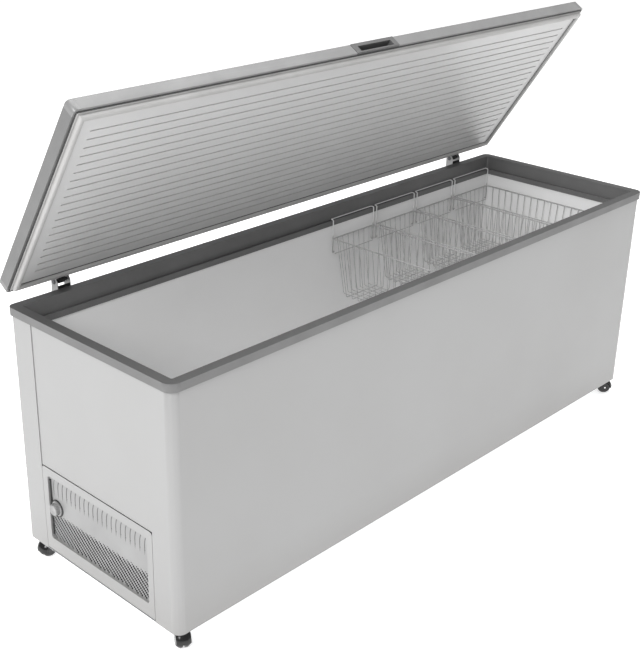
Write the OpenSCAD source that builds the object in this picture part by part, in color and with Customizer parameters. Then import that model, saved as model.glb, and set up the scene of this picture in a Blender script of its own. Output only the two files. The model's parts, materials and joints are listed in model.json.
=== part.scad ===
// Long chest freezer on casters, lid open, four hanging wire baskets.
// X runs along the length, -Y is the front, +Z is up. The origin is the centre
// of the base pan's underside. The machine bay is at the -X end.

/* [Cabinet] */
// Length of the painted body
body_l = 2125; // [1750:5:2600]
// Depth of the painted body
body_d = 650; // [540:5:800]
// Height from the base to the lower edge of the rim
body_h = 692; // [580:1:850]
// Radius of the two upright front corners
front_r = 26; // [16:1:50]
// Radius of the two upright rear corners
rear_r = 14; // [8:1:20]
// Thickness of the outer steel sheets
sheet = 1.2; // [0.8:0.1:2]
// Distance of the end-panel seams from the middle
seam_y = 235; // [190:1:260]
// Recess of the end panels behind the wraps
panel_recess = 2; // [1:0.5:4]
// Width of the open seam round a panel
seam_gap = 1.2; // [0.8:0.1:2]

/* [Rim] */
// How far the rim stands outside the body
rim_out = 6; // [4:0.5:10]
// Height of the rim's outer face
rim_h = 23; // [18:1:32]
// Width of the rim's top, measured inwards from the body's face
rim_in = 23; // [20:1:32]
// Depth of the upper inner wall, from the rim's top to the ledge
rim_wall_h = 45; // [35:1:60]
// Width of the ledge that carries the baskets
ledge_w = 11; // [10:0.5:16]
// Height of the lower band under the ledge
band_h = 18; // [12:1:30]
// Thickness of the rim's plastic
rim_t = 2.5; // [2:0.1:3]

/* [Inside] */
// Thickness of the liner's sheet
liner_t = 1; // [0.8:0.1:2]
// Height of the liner's floor above the base
floor_z = 56; // [45:1:80]
// Radius of the rear upright corners of the rim's inside and of the liner
inside_r = 5; // [4:1:12]
// Length of the machine bay
bay_l = 262; // [255:1:320]
// Height of the machine bay
bay_h = 290; // [285:1:330]
// Insulation between the machine bay and the liner's step
step_foam = 48; // [35:1:60]

/* [Service panel] */
// Height of the service panel's top edge
service_h = 271; // [262:1:280]
// Height of the service panel's bottom edge
service_z = 6; // [4:1:15]
// Radius of the service panel's upper corners
service_r = 10; // [6:1:16]
// Half width of the grille opening
grille_half = 212; // [195:1:215]
// Bottom and top of the grille opening
grille_low = 46; // [38:1:60]
grille_high = 246; // [230:1:250]
// Depth of the perforated grille behind the panel's face
grille_recess = 7; // [5:1:10]
// Spacing of the grille's holes
grille_pitch = 20; // [16:1:26]
// Diameter of the grille's holes
grille_hole = 11; // [6:0.5:12]

/* [Lid] */
// How far the lid stands outside the body's face
lid_out = 3; // [1:0.5:5]
// Height of the lid's edge profiles
lid_h = 36; // [30:1:48]
// Height of the gasket under the edge profiles
gasket_h = 15.5; // [13:0.5:18]
// Clearance under the gasket when the lid is shut
gasket_gap = 0.5; // [0.3:0.1:1]
// Angle of the open lid as the model rests
lid_open = 57; // [0:1:70]
// Radius of the lid's corners
lid_r = 12; // [8:1:18]
// Length of each corner piece along the edges
corner_len = 22; // [18:1:34]
// Thickness of the edge profiles
edge_t = 2; // [1.5:0.1:3]
// Spacing of the inner panel's grooves
rib_pitch = 28.3; // [22:0.1:36]
// Number of grooves
rib_count = 19; // [12:1:19]
// Distance of the grooves' ends from the lid's ends
rib_inset = 66; // [50:1:90]

/* [Handle] */
// Length of the handle insert in the lid's front edge
handle_l = 182; // [140:1:240]
// Middle of the handle, along the lid
handle_x = -10; // [-60:1:60]
// Depth of the finger pocket
pocket_d = 22; // [16:1:26]

/* [Hinges] */
// Distance of each hinge from the middle
hinge_x = 882; // [760:1:980]
// Width of a hinge
hinge_w = 44; // [36:1:56]
// Hinge pin's radius
pin_r = 4; // [3:0.5:5]
// Hinge axis behind the body's rear face
hinge_back = 22; // [21:0.5:28]
// Hinge axis above the rim's top
hinge_up = 17; // [16:0.5:20]

/* [Baskets] */
// Width of one basket
basket_w = 208; // [160:1:230]
// Space between neighbouring baskets
basket_gap = 12; // [9:1:20]
// Depth of the basket's body
basket_h = 205; // [150:1:240]
// Drop from the ledge to the basket's top wire
basket_drop = 60; // [40:1:90]
// How far the basket's foot is drawn in on each side
basket_taper = 20; // [0:1:30]
// Thickness of the mesh wires
wire_t = 3; // [2:0.5:4]
// Diameter of the rim and hook wires
hook_t = 5; // [4:0.5:6]
// Spacing of the mesh wires
wire_pitch = 24; // [18:1:40]

/* [Casters] */
// Height of the base above the floor
caster_h = 57; // [52:1:75]
// Radius of the wheels
wheel_r = 24; // [21:0.5:26]
// Width of each wheel
wheel_w = 17; // [12:1:20]
// Distance of the caster's stem from the body's end
caster_in_x = 44; // [40:1:80]
// Distance of the caster's stem from the body's front or rear
caster_in_y = 42; // [40:1:80]
// Distance of the wheel's axle behind the stem
trail = 18; // [14:1:20]
// Radius of the stem
stem_r = 5.5; // [5:0.5:6]

/* [Hidden] */
$fn = 64;
eps = 0.01;
// Running clearance round pins, stems and axles
run = 0.06;

// Heights
rim_top = body_h + rim_h;
ledge_z = rim_top - rim_wall_h;
band_z = ledge_z - band_h;
shell_top = rim_top - rim_t;
pan_t = 1.5;
// Distances inwards from the body's face
band_in = rim_in + ledge_w;
liner_in = band_in - rim_t;
// Turned-in edges of the wraps, upturned edge of the pan, groove behind the ledge
flange = 12;
pan_lip = 14;
groove = 3;
// Liner
liner_top = ledge_z - rim_t;
bay_x = -body_l / 2 + bay_l;
step_z = bay_h + step_foam;
step_x = bay_x + step_foam;
// Evaporator
coil_t = 8;
coil_levels = 4;
// Lid, as it lies shut
lid_low = rim_top + gasket_h;
lid_top = lid_low + lid_h;
lid_l = body_l + 2 * lid_out;
lid_d = body_d + 2 * lid_out;
lip_w = 10;
panel_face = 7;
panel_t = 4;
gasket_in = 30;
hinge_y = body_d / 2 + hinge_back;
hinge_z = rim_top + hinge_up;
bracket_t = 2;
bracket_low = body_h - 150;
hinge_screw_r = 2.9;
hinge_screw_z = [bracket_low + 12, body_h - 14];
// Baskets: room to the band, enough to pass its rounded corners
band_r = max(front_r - band_in, inside_r);
basket_clear = 0.4 + 0.3 * band_r;
// Hairline between welded wires or seamed sheets, so that each flat piece is a solid of its own
weld = 0.2;
// Casters: stem side along X, stem side along Y, heading of the trailing wheel
caster_headings = [[-1, -1, 240], [-1, 1, 190], [1, -1, 318], [1, 1, 20]];
// Radius of the casters' thrust discs
disc_r = 12;
// Machine bay
fan_y = -95;
fan_z = 140;
fan_x = -body_l / 2 + 62;
cond_half = 112;
cond_y = [-207, 130];
fan_r = 72;
fan_boss_r = 7;
fan_shaft_r = 3;
fan_motor_x = 44;
comp_x = bay_x - 92;
comp_y = 150;
comp_r = 74;
comp_foot_z = 22;
comp_can_h = 108;
comp_dome = 30;
comp_stubs = [-40, 30];
comp_boss = [58, 8, 60];
drier_foot = [bay_x - 24, -40, 82];
drier_h = 86;
comp_boss_z = comp_foot_z + comp_dome + 6;
comp_stub_z = comp_foot_z + comp_can_h + 2 * comp_dome + 10;
knob_y = 183;
knob_z = 151;
knob_r = 22;
bush_r = 6;
drain_x = step_x + 60;
drain_y = -body_d / 2 + 125;
drain_r = 14;
drain_tube_r = drain_r + 1.5;
spout_r = drain_r + 2;
spout_h = 18;
gland_x = -body_l / 2 + 60;
gland_z = 60;
gland_r = 9;
cord_r = 4.2;

// ---------- shared shapes ----------

// Rounded plan: front corners rf, rear corners rr
module plan(l, d, rf, rr) {
    x = l / 2;
    y = d / 2;
    polygon([
        [-x + rf, -y], [x - rf, -y], [x, -y + rf], [x, y - rr],
        [x - rr, y], [-x + rr, y], [-x, y - rr], [-x, -y + rf]
    ]);
    for (s = [-1, 1]) {
        translate([s * (x - rf), -y + rf]) circle(r = rf);
        translate([s * (x - rr), y - rr]) circle(r = rr);
    }
}

// The body's plan moved outwards by o; corners follow it and stay round
module body_plan(o) {
    plan(body_l + 2 * o, body_d + 2 * o, max(front_r + o, 6), max(rear_r + o, 6));
}

// Plan of the inner faces, moved outwards from the body's face by o
module inner_plan(o) {
    plan(body_l + 2 * o, body_d + 2 * o, max(front_r + o, inside_r), inside_r);
}

// The liner's plan moved outwards by o
module liner_plan(o) {
    inner_plan(o - liner_in);
}

// Ring between two offsets of the inner faces, from z0 to z1
module inner_ring(o_out, o_in, z0, z1) {
    translate([0, 0, z0]) linear_extrude(z1 - z0) difference() {
        inner_plan(o_out);
        inner_plan(o_in);
    }
}

// Ring between two offsets of the body's plan, from z0 to z1
module ring(o_out, o_in, z0, z1) {
    translate([0, 0, z0]) linear_extrude(z1 - z0) difference() {
        body_plan(o_out);
        body_plan(o_in);
    }
}

// The lid's plan moved inwards by i
module lid_plan(i) {
    r = max(lid_r - i, 4);
    plan(lid_l - 2 * i, lid_d - 2 * i, r, r);
}

module box(x0, x1, y0, y1, z0, z1) {
    translate([x0, y0, z0]) cube([x1 - x0, y1 - y0, z1 - z0]);
}

// Cylinder along X from x0 to x1
module bar_x(x0, x1, y, z, r) {
    translate([x0, y, z]) rotate([0, 90, 0]) cylinder(h = x1 - x0, r = r);
}

// Cylinder along Y from y0 to y1
module bar_y(y0, y1, x, z, r) {
    translate([x, y0, z]) rotate([-90, 0, 0]) cylinder(h = y1 - y0, r = r);
}

// Pipe with ball elbows through a list of points
module pipe(points, r) {
    for (i = [0 : len(points) - 2]) {
        run_to = points[i + 1] - points[i];
        length = norm(run_to);
        translate(points[i])
            rotate([0, acos(run_to[2] / length), atan2(run_to[1], run_to[0])])
                cylinder(h = length, r = r, $fn = 24);
    }
    for (i = [1 : len(points) - 2]) translate(points[i]) sphere(r = r, $fn = 24);
}

// Puts lid pieces at the open angle
module on_lid() {
    translate([0, hinge_y, hinge_z])
        rotate([-lid_open, 0, 0])
            translate([0, -hinge_y, -hinge_z]) children();
}

// ---------- cabinet ----------

// Front sheet, wrapped round both front corners, with its edges turned in
module front_wrap() {
    color("white") union() {
        linear_extrude(shell_top) intersection() {
            difference() {
                body_plan(0);
                body_plan(-sheet);
            }
            translate([-body_l, -body_d]) square([2 * body_l, body_d - seam_y]);
        }
        for (s = [-1, 1]) {
            x = s * (body_l / 2 - flange / 2 - sheet / 2);
            box(x - flange / 2, x + flange / 2, -seam_y - sheet, -seam_y, pan_t, shell_top);
        }
    }
}

// Rear sheet, with holes for the cord gland and the hinge screws, and a corner strip at each end
module rear_wrap() {
    y = body_d / 2;
    strip_x = body_l / 2 - max(rear_r, flange) - 2 * sheet;
    color("white") {
        difference() {
            box(-strip_x, strip_x, y - sheet, y, 0, shell_top);
            bar_y(y - 5, y + 5, gland_x, gland_z, gland_r);
            at_hinges() for (z = hinge_screw_z) bar_y(y - 5, y + 5, 0, z, hinge_screw_r + 0.1);
        }
        for (s = [-1, 1]) {
            x = s * (body_l / 2 - flange / 2 - sheet / 2);
            linear_extrude(shell_top) intersection() {
                difference() {
                    body_plan(0);
                    body_plan(-sheet);
                }
                translate([s * (strip_x + weld + body_l) - body_l, seam_y])
                    square([2 * body_l, body_d]);
            }
            box(x - flange / 2, x + flange / 2, seam_y, seam_y + sheet, pan_t, shell_top);
        }
    }
}

// Flat end panel with turned-in side edges, from z0 up
module end_panel(side, z0) {
    half = seam_y - seam_gap;
    face = body_l / 2 - panel_recess;
    edge = 9;
    mirror([side > 0 ? 0 : 1, 0, 0]) union() {
        box(face - sheet, face, -half, half, z0, shell_top);
        for (s = [-1, 1]) {
            y = s * (half - sheet / 2);
            box(face - edge, face, y - sheet / 2, y + sheet / 2, z0, shell_top);
        }
    }
}

module left_end_panel() {
    color("white") end_panel(-1, service_h + seam_gap);
}

module right_end_panel() {
    color("white") end_panel(1, pan_t);
}

// Lift-off panel round the vent, with rounded upper corners and a return lip
module service_panel() {
    half = seam_y - seam_gap;
    high = service_h - service_z;
    depth = grille_recess;
    color("white") translate([-body_l / 2, 0, service_z]) rotate([90, 0, 90]) {
        linear_extrude(sheet) difference() {
            union() {
                translate([-half, 0]) square([2 * half, high - service_r]);
                translate([-half + service_r, 0]) square([2 * (half - service_r), high]);
                for (s = [-1, 1])
                    translate([s * (half - service_r), high - service_r]) circle(r = service_r);
            }
            grille_outline(0);
        }
        linear_extrude(depth) difference() {
            grille_outline(sheet);
            grille_outline(0);
        }
    }
}

// Outline of the vent opening, grown by o, in the service panel's plane
module grille_outline(o) {
    r = 8 + o;
    w = 2 * (grille_half + o);
    h = grille_high - grille_low + 2 * o;
    translate([0, (grille_low + grille_high) / 2 - service_z]) plan(w, h, r, r);
}

// Perforated steel sheet behind the vent opening
module vent_grille() {
    x = -body_l / 2 + grille_recess;
    low = grille_low - 8;
    high = grille_high + 8;
    half = grille_half + 10;
    row = grille_pitch * 0.866;
    rows = floor((high - low - 24) / row);
    columns = floor((2 * half - 24) / grille_pitch);
    color("gainsboro") translate([x, 0, 0]) rotate([90, 0, 90]) linear_extrude(sheet) difference() {
        translate([-half, low]) square([2 * half, high - low]);
        for (j = [0 : rows], i = [0 : columns - j % 2]) {
            y = (i - columns / 2 + (j % 2) / 2) * grille_pitch;
            z = (low + high) / 2 + (j - rows / 2) * row;
            if (norm([y - knob_y, z - knob_z]) > knob_r - 4)
                translate([y, z]) circle(d = grille_hole, $fn = 6);
        }
        translate([knob_y, knob_z]) circle(r = bush_r);
    }
}

// Steel pan that closes the body from below
module base_pan() {
    color("silver") difference() {
        union() {
            linear_extrude(pan_t) body_plan(-sheet);
            ring(-sheet, -sheet - pan_t, 0, pan_lip + pan_t);
        }
        for (c = caster_headings) caster_at(c) translate([0, 0, -1]) cylinder(h = 4, r = disc_r + 0.3);
        translate([drain_x, drain_y, -1]) cylinder(h = 4, r = spout_r + 0.2);
        box(-body_l / 2 - 1, -body_l / 2 + sheet + pan_t + 1, -seam_y, seam_y, pan_t, pan_lip + 4);
        for (s = [-1, 1]) {
            x = s * (body_l / 2 - 7);
            box(x - 8, x + 8, -seam_y - sheet, seam_y + sheet, pan_t, pan_lip + 4);
        }
    }
}

// Room kept free for the machine bay, grown by o
module bay_room(o) {
    translate([-body_l / 2 - 1, -body_d, -1])
        cube([bay_l + 1 + o, 2 * body_d, bay_h + 1 + o]);
}

// Volume inside the liner grown by o, from its floor to z1, less the step
module liner_room(o, z1) {
    difference() {
        translate([0, 0, floor_z - o]) linear_extrude(z1 - floor_z + o) liner_plan(o);
        box(-body_l, step_x - o, -body_d, body_d, 0, step_z - o);
    }
}

// Tube pressed round the liner's walls, one turn at each level
module coil_turn(z) {
    translate([0, 0, z - coil_t / 2]) linear_extrude(coil_t) difference() {
        liner_plan(liner_t + coil_t);
        liner_plan(liner_t);
    }
}

function coil_z(i) = step_z + 40 + i * (liner_top - step_z - 100) / (coil_levels - 1);

// Foamed-in insulation between the shell, the base and the liner
module body_foam() {
    under_ledge = ledge_z - rim_t - groove;
    color("lightyellow") difference() {
        translate([0, 0, pan_t]) linear_extrude(shell_top - pan_t) intersection() {
            body_plan(-sheet);
            square([body_l - 2 * flange - 2, 2 * body_d], center = true);
        }
        ring(eps, -sheet - pan_t, 0, pan_lip + pan_t);
        bay_room(0);
        liner_room(liner_t, shell_top + 1);
        translate([0, 0, under_ledge]) linear_extrude(rim_h + rim_wall_h + groove)
            inner_plan(-rim_in + rim_t);
        for (i = [0 : coil_levels - 1]) coil_turn(coil_z(i));
        for (c = caster_headings) caster_at(c) cylinder(h = 34, r = 19.2);
        translate([drain_x, drain_y, 0]) cylinder(h = floor_z + 1, r = drain_tube_r);
    }
}

// Stamped liner with the step over the machine bay
module inner_liner() {
    far = body_l;
    flat_x = body_l / 2 - liner_in - max(front_r - liner_in, inside_r);
    low = floor_z + weld;
    over_step = step_z + weld;
    color("gainsboro") {
        liner_sheet([-far, far], [floor_z - liner_t, floor_z]);
        liner_sheet([step_x - liner_t, step_x], [low, step_z - liner_t - weld]);
        liner_sheet([-far, step_x], [step_z - liner_t, step_z]);
        liner_sheet([step_x + weld, flat_x], [low, step_z]);
        liner_sheet([flat_x + weld, far], [low, liner_top]);
        liner_sheet([-flat_x, flat_x], [over_step, liner_top]);
        liner_sheet([-far, -flat_x - weld], [over_step, liner_top]);
    }
}

// Sheets of the liner between two places along X and two heights, seamed to each other
module liner_sheet(x, z) {
    intersection() {
        difference() {
            liner_room(liner_t, liner_top);
            liner_room(0, liner_top + 1);
            translate([drain_x, drain_y, floor_z - 5]) cylinder(h = 10, r = drain_tube_r);
        }
        box(x[0], x[1], -body_d, body_d, z[0], z[1]);
    }
}

// Plastic rim: outer lip, flat top, inner wall, basket ledge and lower band
module rim_frame() {
    low = ledge_z - rim_t - groove;
    color("dimgray") union() {
        ring(rim_out, rim_out - rim_t, body_h, rim_top);
        translate([0, 0, shell_top]) linear_extrude(rim_t) difference() {
            body_plan(rim_out);
            inner_plan(-rim_in);
        }
        inner_ring(-rim_in + rim_t, -rim_in, low, rim_top);
        inner_ring(-rim_in + rim_t, -rim_in - groove, low, ledge_z - groove);
        inner_ring(-rim_in - groove, -band_in, ledge_z - rim_t, ledge_z);
        inner_ring(-rim_in - groove, -rim_in - groove - rim_t, low, ledge_z);
        inner_ring(-liner_in, -band_in, band_z, ledge_z);
    }
}

// Evaporator turns pressed on the liner's back
module evaporator_tube() {
    color("darkgoldenrod") for (i = [0 : coil_levels - 1]) coil_turn(coil_z(i));
}

// Gland for the supply cord, in the rear sheet
module cord_gland() {
    y = body_d / 2;
    color("black") difference() {
        union() {
            bar_y(y, y + 4, gland_x, gland_z, gland_r + 5);
            bar_y(y - sheet - 8, y, gland_x, gland_z, gland_r);
            bar_y(y - sheet - 10, y - sheet, gland_x, gland_z, gland_r + 3);
        }
        bar_y(y - 30, y + 30, gland_x, gland_z, cord_r);
    }
}

// ---------- machine bay ----------

// Sealed compressor can with a foot plate
module compressor() {
    h = comp_can_h;
    dome = comp_dome;
    color("#202020") translate([comp_x, comp_y, comp_foot_z]) difference() {
        union() {
            translate([-62, -100, 0]) cube([124, 200, 3]);
            translate([0, 0, 3]) cylinder(h = 30, r = comp_r - 16);
            translate([0, 0, dome]) cylinder(h = h, r = comp_r);
            for (up = [0, 1]) translate([0, 0, dome + up * h]) scale_dome(comp_r, dome, up);
            translate([0, 0, dome + h / 2 - 4]) cylinder(h = 8, r = comp_r + 4);
            translate([-comp_boss[0] / 2, comp_r - comp_boss[1], comp_boss_z - comp_foot_z])
                cube([comp_boss[0], 2 * comp_boss[1], comp_boss[2]]);
            for (x = comp_stubs) translate([x, 0, 2 * dome + h - 20]) cylinder(h = 30, r = 4.5);
        }
        for (sx = [-1, 1], sy = [-1, 1])
            translate([sx * 50, sy * 86, -1]) cylinder(h = 6, r = 7);
    }
}

// Shallow dome of radius r and height d, upwards or downwards
module scale_dome(r, d, up) {
    ball = (r * r + d * d) / (2 * d);
    mirror([0, 0, 1 - up]) rotate_extrude() intersection() {
        translate([0, d - ball]) circle(r = ball, $fn = 96);
        square([r, d]);
    }
}

module at_grommets() {
    for (sx = [-1, 1], sy = [-1, 1])
        translate([comp_x + sx * 50, comp_y + sy * 86, 0]) children();
}

// Rubber feet under the compressor
module compressor_grommets() {
    color("black") at_grommets() difference() {
        union() {
            translate([0, 0, pan_t]) cylinder(h = comp_foot_z - pan_t, r = 13);
            translate([0, 0, pan_t]) cylinder(h = comp_foot_z - pan_t + 4, r = 7);
            translate([0, 0, comp_foot_z + 3]) cylinder(h = 4, r = 11);
        }
        cylinder(h = 60, r = 4);
    }
}

// Bolts through the rubber feet
module compressor_bolts() {
    top = comp_foot_z + 7;
    color("silver") at_grommets() {
        translate([0, 0, pan_t]) cylinder(h = top - pan_t, r = 4);
        translate([0, 0, top]) cylinder(h = 5, r = 8, $fn = 6);
    }
}

// Relay and overload box on the compressor's side
module starter_box() {
    y = comp_y + comp_r + comp_boss[1];
    half = comp_boss[0] / 2 + 1;
    low = comp_boss_z - 1;
    high = comp_boss_z + comp_boss[2] + 1;
    depth = 36;
    wall = 3;
    color("#303030") difference() {
        box(comp_x - half, comp_x + half, y, y + depth, low, high);
        box(
            comp_x - half + wall, comp_x + half - wall, y - 1, y + depth - wall,
            low + wall, high - wall
        );
    }
}

// Finned condenser between the grille and the fan, as wide as the vent allows
module condenser() {
    core_x = fan_x - 44;
    core_t = 34;
    low = 40;
    high = 240;
    rows = 6;
    fins = 34;
    fin_t = 1;
    margin = 16;
    plate_t = 2;
    side_x0 = core_x - 2;
    side_x1 = core_x + core_t + 2;
    color("#3a3a3a") union() {
        for (i = [0 : fins - 1]) {
            y = cond_y[0] + margin + i * (cond_y[1] - cond_y[0] - 2 * margin) / (fins - 1);
            box(core_x, core_x + core_t, y - fin_t / 2, y + fin_t / 2, low, high);
        }
        for (j = [0 : rows - 1]) {
            z = low + 20 + j * (high - low - 40) / (rows - 1);
            bar_y(cond_y[0], cond_y[1], core_x + core_t / 2, z, 4);
        }
        for (y = cond_y) box(side_x0, side_x1, y - plate_t / 2, y + plate_t / 2, pan_t, high + 4);
        box(side_x0, side_x1, cond_y[0], cond_y[1], pan_t, pan_t + plate_t);
    }
}

// Sheet shroud that holds the fan behind the condenser
module fan_shroud() {
    t = 1.5;
    half = cond_half + 1;
    top = 246;
    arm_y = 84;
    arm_w = 10;
    plate_x = fan_x + fan_motor_x - 2;
    color("silver") difference() {
        union() {
            box(fan_x, fan_x + t, fan_y - half, fan_y + half, pan_t, top);
            box(fan_x, fan_x + 30, fan_y - half, fan_y + half, pan_t, pan_t + t);
            for (s = [-1, 1]) {
                y = fan_y + s * arm_y;
                box(fan_x, plate_x + 2, y - arm_w / 2, y + arm_w / 2, fan_z - 1, fan_z + 1);
            }
            box(
                plate_x, plate_x + 2, fan_y - arm_y - arm_w / 2, fan_y + arm_y + arm_w / 2,
                fan_z - 12, fan_z + 12
            );
        }
        bar_x(fan_x - 1, fan_x + 2, fan_y, fan_z, fan_r + 6);
        bar_x(plate_x - 2, plate_x + 4, fan_y, fan_z, fan_boss_r + 1);
    }
}

// Fan motor with its shaft towards the grille
module fan_motor() {
    color("#505050") union() {
        bar_x(fan_x + fan_motor_x, fan_x + 2 * fan_motor_x, fan_y, fan_z, 27);
        bar_x(fan_x + 30, fan_x + fan_motor_x, fan_y, fan_z, fan_boss_r);
        bar_x(fan_x + 8, fan_x + 30, fan_y, fan_z, fan_shaft_r);
    }
}

// Five-bladed fan
module fan_blade() {
    blades = 5;
    pitch = 28;
    hub_r = 15;
    chord = 38;
    blade_t = 2;
    color("darkgray") difference() {
        union() {
            bar_x(fan_x + 7, fan_x + 25, fan_y, fan_z, hub_r);
            intersection() {
                bar_x(fan_x + 4, fan_x + 28, fan_y, fan_z, fan_r);
                for (i = [0 : blades - 1])
                    translate([fan_x + 16, fan_y, fan_z])
                        rotate([i * 360 / blades, 0, 0]) rotate([0, 0, pitch])
                            translate([-blade_t / 2, -chord / 2, hub_r - 5])
                                cube([blade_t, chord, fan_r]);
            }
        }
        bar_x(fan_x, fan_x + 27, fan_y, fan_z, fan_shaft_r + run);
    }
}

// Filter drier, upright beside the compressor
module filter_drier() {
    neck = 8;
    color("goldenrod") translate(drier_foot) {
        translate([0, 0, neck]) cylinder(h = drier_h - 2 * neck, r = 11);
        cylinder(h = drier_h, r = 5);
    }
}

// Copper pipes: compressor to condenser, condenser to drier, drier and suction to the wall
module refrigerant_pipes() {
    r = 3;
    high = 262;
    to_wall = 240;
    out_x = comp_x + comp_stubs[0];
    back_x = comp_x + comp_stubs[1];
    x = drier_foot[0];
    y = drier_foot[1];
    in_x = fan_x - 27;
    in_y = cond_y[1] + 1;
    past_fan = fan_x + 25;
    color("peru") union() {
        pipe([
            [out_x, comp_y, comp_stub_z], [out_x, comp_y, high], [in_x, comp_y, high],
            [in_x, comp_y, 220], [in_x, in_y, 220]
        ], r);
        pipe([
            [in_x, in_y, 60], [in_x, in_y + 15, 60], [past_fan, in_y + 15, 60],
            [past_fan, comp_y - 95, 60], [x, comp_y - 95, 60], [x, y, 60], drier_foot
        ], r);
        pipe([drier_foot + [0, 0, drier_h], [x, y, to_wall], [bay_x, y, to_wall]], r);
        pipe([
            [back_x, comp_y, comp_stub_z], [back_x, comp_y, to_wall - 4],
            [bay_x, comp_y, to_wall - 4]
        ], r);
    }
}

// Thermostat body behind the grille
module thermostat() {
    x = -body_l / 2 + grille_recess + sheet;
    color("whitesmoke") union() {
        box(x, x + 34, knob_y - 21, knob_y + 21, knob_z - 17, knob_z + 17);
        bar_x(x - sheet, x, knob_y, knob_z, bush_r - 0.1);
        bar_x(x - sheet - 14, x - sheet, knob_y, knob_z, 3);
    }
}

// Thermostat knob with finger ridges
module thermostat_knob() {
    x1 = -body_l / 2 + grille_recess - 0.5;
    x0 = x1 - 18;
    ridges = 10;
    color("silver") difference() {
        union() {
            bar_x(x1 - 4, x1, knob_y, knob_z, knob_r);
            bar_x(x0, x1 - 4, knob_y, knob_z, knob_r - 5);
            for (i = [0 : ridges - 1])
                translate([0, knob_y, knob_z]) rotate([i * 360 / ridges, 0, 0])
                    box(x0 + 2, x1 - 4 + eps, -1.5, 1.5, knob_r - 8, knob_r - 3);
        }
        bar_x(x1 - 14.5, x1 + 1, knob_y, knob_z, 3 + run);
    }
}

// Drain tube through the floor, with a hose spout under the base
module drain_tube() {
    color("lightgray") translate([drain_x, drain_y, 0]) difference() {
        union() {
            translate([0, 0, -spout_h]) cylinder(h = spout_h, r = spout_r);
            cylinder(h = floor_z, r = drain_tube_r);
            translate([0, 0, floor_z]) cylinder(h = 1.5, r = drain_r + 8);
        }
        translate([0, 0, -spout_h - 1]) cylinder(h = floor_z + 40, r = drain_r);
    }
}

// Rubber plug in the drain, pulled straight up
module drain_plug() {
    color("black") translate([drain_x, drain_y, floor_z]) difference() {
        union() {
            translate([0, 0, -16]) cylinder(h = 18, r = drain_r - 0.1);
            translate([0, 0, 2]) cylinder(h = 3, r = drain_r + 5);
            translate([-9, -2, 5]) cube([18, 4, 14]);
        }
        bar_y(-3, 3, 0, 13, 3.5);
    }
}

// ---------- hinges ----------

module at_hinges() {
    for (s = [-1, 1]) translate([s * hinge_x, 0, 0]) children();
}

// Steel brackets on the rear wall, with two side plates each
module hinge_brackets() {
    y0 = body_d / 2;
    low = bracket_low;
    plate = bracket_t;
    color("lightgray") at_hinges() difference() {
        union() {
            box(-hinge_w / 2, hinge_w / 2, y0, y0 + plate, low, body_h - 2);
            for (s = [-1, 1]) translate([s * (hinge_w - plate) / 2 - plate / 2, 0, 0])
                rotate([90, 0, 90]) linear_extrude(plate) polygon([
                    [y0, low + 20], [y0 + 22, low + 60], [hinge_y + 14, body_h - 20],
                    [hinge_y + 14, hinge_z + 4], [hinge_y + 6, hinge_z + 10],
                    [hinge_y - 9, hinge_z + 10], [y0 + rim_out + 0.6, hinge_z],
                    [y0 + rim_out + 0.6, body_h - 2], [y0, body_h - 2]
                ]);
        }
        bar_x(-hinge_w, hinge_w, hinge_y, hinge_z, pin_r + run);
        for (z = hinge_screw_z) bar_y(y0 - 1, y0 + 4, 0, z, hinge_screw_r + 0.1);
    }
}

// Screws that hold the brackets to the rear sheet
module hinge_screws() {
    y0 = body_d / 2;
    color("silver") at_hinges() for (z = hinge_screw_z) {
        bar_y(y0 - sheet, y0 + bracket_t, 0, z, hinge_screw_r);
        bar_y(y0 + bracket_t, y0 + bracket_t + 3, 0, z, 5.5);
    }
}

// Hinge pins with a head at each end
module hinge_pins() {
    color("silver") at_hinges() union() {
        bar_x(-hinge_w / 2, hinge_w / 2, hinge_y, hinge_z, pin_r);
        bar_x(-hinge_w / 2 - 2.5, -hinge_w / 2, hinge_y, hinge_z, pin_r + 2.5);
        bar_x(hinge_w / 2, hinge_w / 2 + 2.5, hinge_y, hinge_z, pin_r + 2.5);
    }
}

// Counterbalance springs: the coil's outer shape round each pin
module hinge_springs() {
    color("gray") at_hinges() for (s = [-1, 1]) difference() {
        x = s * (hinge_w / 2 - bracket_t - 4.5);
        bar_x(x - 4.5, x + 4.5, hinge_y, hinge_z, pin_r + 3.5);
        bar_x(x - 5, x + 5, hinge_y, hinge_z, pin_r + 0.1);
    }
}

// Black front covers of the brackets, under the hinge axis
module hinge_covers() {
    y0 = body_d / 2 + rim_out + 0.6;
    half = hinge_w / 2 - 2.2;
    color("black") at_hinges() union() {
        box(-half, half, y0, y0 + 2.5, body_h - 2, hinge_z - 9);
        box(-half, half, y0, hinge_y - 3, body_h - 2, body_h + 2);
    }
}

// Arms from the pins to the lid's rear edge
module hinge_arms() {
    half = hinge_w / 2 - 12;
    y0 = body_d / 2 + lid_out;
    knuckle = pin_r + 4;
    color("black") on_lid() at_hinges() difference() {
        union() {
            bar_x(-half, half, hinge_y, hinge_z, knuckle);
            rotate([90, 0, 90]) translate([0, 0, -half]) linear_extrude(2 * half) polygon([
                [y0, lid_low + 3], [y0, lid_top - 5], [y0 + 3, lid_top - 5],
                [hinge_y + 2, hinge_z + knuckle - 0.4], [hinge_y, hinge_z - pin_r - 1],
                [y0 + 4, lid_low + 3]
            ]);
            box(-hinge_w / 2 + 3, hinge_w / 2 - 3, y0, y0 + 3, lid_low + 14, lid_top - 5);
        }
        bar_x(-hinge_w, hinge_w, hinge_y, hinge_z, pin_r + run);
    }
}

// ---------- lid ----------

module handle_room(o) {
    y0 = -body_d / 2 - lid_out;
    box(
        handle_x - handle_l / 2 - o, handle_x + handle_l / 2 + o,
        y0 - 5, y0 + pocket_d + 3 + o, lid_low - 1, lid_top + 1
    );
}

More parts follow.
